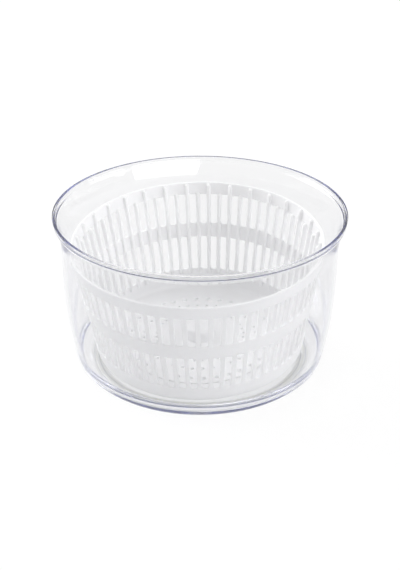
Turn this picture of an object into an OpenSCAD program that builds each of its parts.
// Salad spinner bowl with its slotted basket.
// The basket stands on a small ball-ended pin in the middle of the bowl. It spins on the pin,
// leans on the ball until its rim meets the bowl, and lifts out with the pin and its cup.
// Frame: +Z up, origin at the centre of the foot's underside, -Y to the front. Millimetres.

/* [Bowl] */
// Overall height, foot ring included
bowl_h = 158; // [150:1:170]
// Outer radius of the collar round the rim, where a lid sits
rim_r = 140; // [138:0.5:144]
// Outer radius of the side wall under the collar
body_r = 133.4; // [133:0.1:135]
// Wall thickness of the side and the floor
bowl_wall = 3; // [2.4:0.1:3]
// Outer radius of the rounded bottom corner
corner_r = 11; // [9:0.5:13]
// Radius at which the flat floor runs into the corner
flat_r = 113.5; // [112:0.5:115]
// Radius of the inside of the bottom corner, which makes the corner thicker than the wall
inner_corner_r = 22; // [18:1:23]
// Height of the lid ledge inside the collar, down from the rim
ledge_drop = 4.4; // [3.5:0.1:6]

/* [Foot ring] */
// Height of the foot ring that shows below the floor
foot_h = 2; // [1.5:0.1:2.5]
// Outer radius of the foot ring
foot_r = 112; // [108:0.5:112]
// Radial width of the foot ring
foot_w = 12; // [9:0.5:14]

/* [Basket] */
// Height of the basket from its underside to its rim
basket_h = 116.5; // [112:0.5:117]
// Outer radius at the rim
basket_rim_r = 121.6; // [118:0.1:121.8]
// Outer radius at the top of the rounded bottom corner
basket_base_r = 105.2; // [102:0.1:107]
// Outer radius of the rounded bottom corner
basket_corner_r = 8; // [6:0.5:9]
// Wall thickness at the smooth bands
basket_wall = 2.4; // [2:0.1:2.8]
// Gap from the table up to the underside of the upright basket
basket_z = 15; // [15:0.1:16]

/* [Slots and ribs] */
// Slots round each tier, an even number
slot_count = 64; // [56:2:68]
// Width of the upper slots
upper_slot_w = 7; // [5:0.1:7.2]
// Width of the lower slots
lower_slot_w = 6.6; // [5:0.1:6.8]
// Height of the lower slots' bottom above the underside
lower_slot_z = 18.6; // [16:0.1:20]
// Height of the lower slots
lower_slot_h = 37.1; // [30:0.1:38]
// Height of the upper slots' bottom above the underside
upper_slot_z = 71.1; // [68:0.1:73]
// Height of the upper slots
upper_slot_h = 32.3; // [28:0.1:34]
// How far the bars between the slots lie behind the smooth bands
bar_recess = 0.7; // [0:0.1:1]
// How far the ribs stand out from the inside of the wall
rib_d = 3; // [1:0.1:3.4]
// Width of each rib
rib_w = 4; // [2:0.1:4.2]

/* [Basket floor] */
// Radius of the outer ring of holes
ring_1_r = 72; // [70:1:74]
// Radius of the middle ring of holes
ring_2_r = 57; // [54:1:60]
// Radius of the inner ring of holes
ring_3_r = 44; // [40:1:47]
// Diameter of the holes in the outer ring
ring_1_d = 5; // [4:0.1:6]
// Diameter of the holes in the other two rings
ring_small_d = 3.6; // [3:0.1:4.5]
// Holes in each ring
ring_count = 36; // [30:2:40]
// Turn of the rings of holes about the basket's axis, in degrees
ring_turn = 2.7; // [0:0.1:9]
// Height of the middle dome above the basket's floor
hub_h = 15; // [14:0.5:18]
// Radius of the middle dome at its foot
hub_r = 15; // [14:0.5:18]

/* [Pivot] */
// Height of the ball's centre, about which the basket leans
pivot_z = 13; // [12.8:0.1:13.2]
// Radius of the ball end of the pin
ball_r = 4; // [3.5:0.1:4.2]
// Radius of the pin's shaft
pin_r = 3; // [2.5:0.1:3.2]
// Running clearance of every turning or sliding fit, on the radius
fit_gap = 0.05; // [0.02:0.01:0.1]
// Lean of the basket as it rests with its rim near the bowl, in degrees
lean = 4.2; // [0:0.1:4.3]
// Direction of the lean, in degrees from the front, negative towards the left
lean_dir = -18; // [-180:1:180]

/* [Hidden] */
$fn = 96;
eps = 0.01;

// Bowl: the wall bellies out from the corner to its upright part, then flares up to the collar.
corner_tilt = 13;
belly_z = 124;
corner_c = [flat_r, foot_h + corner_r];
wall_r0 = flat_r + corner_r * cos(corner_tilt);
wall_z0 = foot_h + corner_r - corner_r * sin(corner_tilt);
floor_top = foot_h + bowl_wall;
inner_tilt = 11;
inner_z0 = floor_top + inner_corner_r * (1 - sin(inner_tilt));
collar_w = 2.8;
collar_h = 6.2;
collar_round = 0.8;
flare_z = 127;
flare_out = 5;
flare_top = bowl_h - collar_h - 0.4;
ledge_z = bowl_h - ledge_drop;
collar_in = rim_r - collar_w;

// Boss and cup in the middle of the bowl's floor.
boss_r = 10;
boss_top = 11;
cup_r = 6;
cup_z = 6.5;
cup_top = 12.5;
tongue_w = 5;
tongue_h = 1.2;

// Basket.
basket_top = basket_z + basket_h;
basket_floor = basket_z + basket_wall;
basket_corner_z = basket_z + basket_corner_r;
draft = atan((basket_rim_r - basket_base_r) / (basket_top - basket_corner_z));
basket_corner_x = basket_base_r - basket_corner_r / cos(draft);
disc_r = 79;
disc_h = 1;
short_rib_over = 1.5;
tall_rib_drop = 1.2;
rib_bottom = 14;
pitch = 360 / slot_count;

// Hub: a domed shell over a sleeve that runs on the pin.
hub_wall = 2;
hub_top_r = 11.5;
sleeve_r = 5.5;
pin_top = basket_floor + hub_h - hub_wall - 1;

function arc(c, r, a0, a1, n) =
    [for (i = [0:n]) let (a = a0 + (a1 - a0) * i / n) [c[0] + r * cos(a), c[1] + r * sin(a)]];

// Outer radius of the bowl's side wall at height z.
function side_r(z) = body_r - (body_r - wall_r0) * pow(max(0, belly_z - z) / (belly_z - wall_z0), 3)
    + flare_out * pow(max(0, z - flare_z) / (flare_top - flare_z), 2);

// Outer radius of the basket's wall at height z.
function cone_r(z) = basket_base_r + (z - basket_corner_z) * tan(draft);

// The side wall's curve from height z0 to z1, moved inwards by t.
function side_curve(z0, z1, t, n) =
    [for (i = [0:n]) let (z = z0 + (z1 - z0) * i / n) [side_r(z) - t, z]];

// Puts the upright basket in the lean that it rests in.
module leaning()
    translate([0, 0, pivot_z]) rotate([0, 0, lean_dir]) rotate([lean, 0, 0]) rotate([0, 0, -lean_dir])
        translate([0, 0, -pivot_z]) children();

module bowl_section() {
    inner_c = [side_r(inner_z0) - bowl_wall - inner_corner_r * cos(inner_tilt), floor_top + inner_corner_r];
    polygon(concat(
        [[0, foot_h]],
        arc(corner_c, corner_r, -90, -corner_tilt, 8),
        side_curve(wall_z0 + 6, belly_z, 0, 8),
        side_curve(flare_z, flare_top, 0, 6),
        [[rim_r - 0.6, bowl_h - collar_h], [rim_r, bowl_h - collar_h + 0.6]],
        arc([rim_r - collar_round, bowl_h - collar_round], collar_round, 0, 90, 3),
        arc([collar_in + collar_round, bowl_h - collar_round], collar_round, 90, 180, 3),
        [[collar_in, ledge_z + collar_round], [collar_in - collar_round, ledge_z]],
        side_curve(ledge_z - 1.5, flare_z, bowl_wall, 6),
        side_curve(belly_z, inner_z0 + 6, bowl_wall, 8),
        arc(inner_c, inner_corner_r, -inner_tilt, -90, 10),
        [[boss_r + 1, floor_top], [boss_r, floor_top + 1], [boss_r - 0.5, boss_top]],
        [[cup_r + 0.4, boss_top], [cup_r, boss_top - 0.4], [cup_r, cup_z], [0, cup_z]]
    ));
}

module bowl() {
    color([0.86, 0.87, 0.93, 0.35]) difference() {
        rotate_extrude($fn = 180) bowl_section();
        ring(foot_r - foot_w / 2, tongue_w, foot_h - eps, foot_h + tongue_h);
    }
}

// A flat ring of mean radius r and width w between two heights.
module ring(r, w, z0, z1) {
    translate([0, 0, z0]) difference() {
        cylinder(r = r + w / 2, h = z1 - z0, $fn = 180);
        translate([0, 0, -1]) cylinder(r = r - w / 2, h = z1 - z0 + 2, $fn = 180);
    }
}

module foot_ring() {
    color([0.88, 0.9, 0.87]) union() {
        ring(foot_r - foot_w / 2, foot_w, 0, foot_h);
        ring(foot_r - foot_w / 2, tongue_w, foot_h / 2, foot_h + tongue_h);
    }
}

// Loose cup in the boss, with a ball seat in its top.
module pivot_cup() {
    color([0.93, 0.93, 0.91]) difference() {
        translate([0, 0, cup_z]) cylinder(r = cup_r - fit_gap, h = cup_top - cup_z);
        translate([0, 0, pivot_z]) sphere(r = ball_r + fit_gap);
    }
}

// Steel pin: a ball below, a straight shaft, and a domed end that the basket stands on.
module pivot_pin() {
    color([0.75, 0.76, 0.78]) leaning() rotate_extrude() polygon(concat(
        [[0, pivot_z - ball_r]],
        [for (a = [-75:15:45]) [ball_r * cos(a), pivot_z + ball_r * sin(a)]],
        [[pin_r, pivot_z + ball_r], [pin_r, pin_top - pin_r]],
        arc([0, pin_top - pin_r], pin_r, 15, 90, 5)
    ));
}

module basket_section() {
    wall_top = basket_top - 1.2;
    inner_corner = basket_corner_r - basket_wall;
    inner_x = basket_base_r - basket_wall / cos(draft) - inner_corner / cos(draft);
    polygon(concat(
        [[hub_r - hub_wall, basket_z]],
        arc([basket_corner_x, basket_corner_z], basket_corner_r, -90, -draft, 6),
        [[cone_r(wall_top), wall_top], [cone_r(wall_top) - 0.5, basket_top - 0.2]],
        [[cone_r(wall_top) - 1.2, basket_top], [cone_r(wall_top) - 1.9, basket_top - 0.2]],
        [[cone_r(wall_top) - basket_wall, wall_top]],
        arc([inner_x, basket_floor + inner_corner], inner_corner, -draft, -90, 6),
        [[disc_r + 1, basket_floor], [disc_r, basket_floor + disc_h]],
        [[hub_r + 1, basket_floor + disc_h], [hub_r, basket_floor + disc_h + 1]],
        arc([hub_top_r - 4, basket_floor + hub_h - 4], 4, 10, 90, 5),
        [[0, basket_floor + hub_h], [0, pin_top + fit_gap], [pin_r + fit_gap, pin_top + fit_gap]],
        [[pin_r + fit_gap, basket_z + 3], [sleeve_r, basket_z + 3]],
        [[sleeve_r, pin_top - 1], [hub_top_r - hub_wall, pin_top - 1], [hub_r - hub_wall, basket_z + 2]]
    ));
}

// A turned shape of the basket, whose seam lies in the middle of a slot and not on a bar.
module turned()
    rotate([0, 0, pitch / 2]) rotate_extrude($fn = 180) children();

// One tier of slots, as the blocks that cut them.
module slots(z0, h, w)
    for (i = [0:slot_count - 1]) rotate([0, 0, (i + 0.5) * pitch])
        translate([basket_base_r - 8, -w / 2, basket_z + z0]) cube([28, w, h]);

// The shallow band that sets the bars back between one tier's slots.
module bar_band(z0, h) {
    low = basket_z + z0;
    turned() polygon([
        [cone_r(low) - bar_recess, low], [cone_r(low) + 5, low],
        [cone_r(low + h) + 5, low + h], [cone_r(low + h) - bar_recess, low + h]
    ]);
}

// Upright ribs inside the wall: every second one reaches nearly to the rim.
module ribs() {
    short_top = upper_slot_z + upper_slot_h + short_rib_over;
    for (i = [0:slot_count - 1]) {
        top = i % 2 == 0 ? short_top : basket_h - tall_rib_drop;
        low = basket_z + rib_bottom;
        rotate([0, 0, 90 + i * pitch])
            translate([cone_r(low) - basket_wall - rib_d, -rib_w / 2, low])
                rotate([0, draft, 0]) cube([rib_d + 1, rib_w, (top - rib_bottom) / cos(draft)]);
    }
}

module floor_holes(r, d)
    for (i = [0:ring_count - 1]) rotate([0, 0, ring_turn + i * 360 / ring_count])
        translate([r, 0, basket_z - 1]) cylinder(d = d, h = basket_wall + disc_h + 2, $fn = 24);

module basket() {
    color([0.95, 0.95, 0.96]) leaning() difference() {
        union() {
            turned() basket_section();
            ribs();
        }
        slots(lower_slot_z, lower_slot_h, lower_slot_w);
        slots(upper_slot_z, upper_slot_h, upper_slot_w);
        bar_band(lower_slot_z, lower_slot_h);
        bar_band(upper_slot_z, upper_slot_h);
        floor_holes(ring_1_r, ring_1_d);
        floor_holes(ring_2_r, ring_small_d);
        floor_holes(ring_3_r, ring_small_d);
    }
}

bowl();
foot_ring();
pivot_cup();
pivot_pin();
basket();
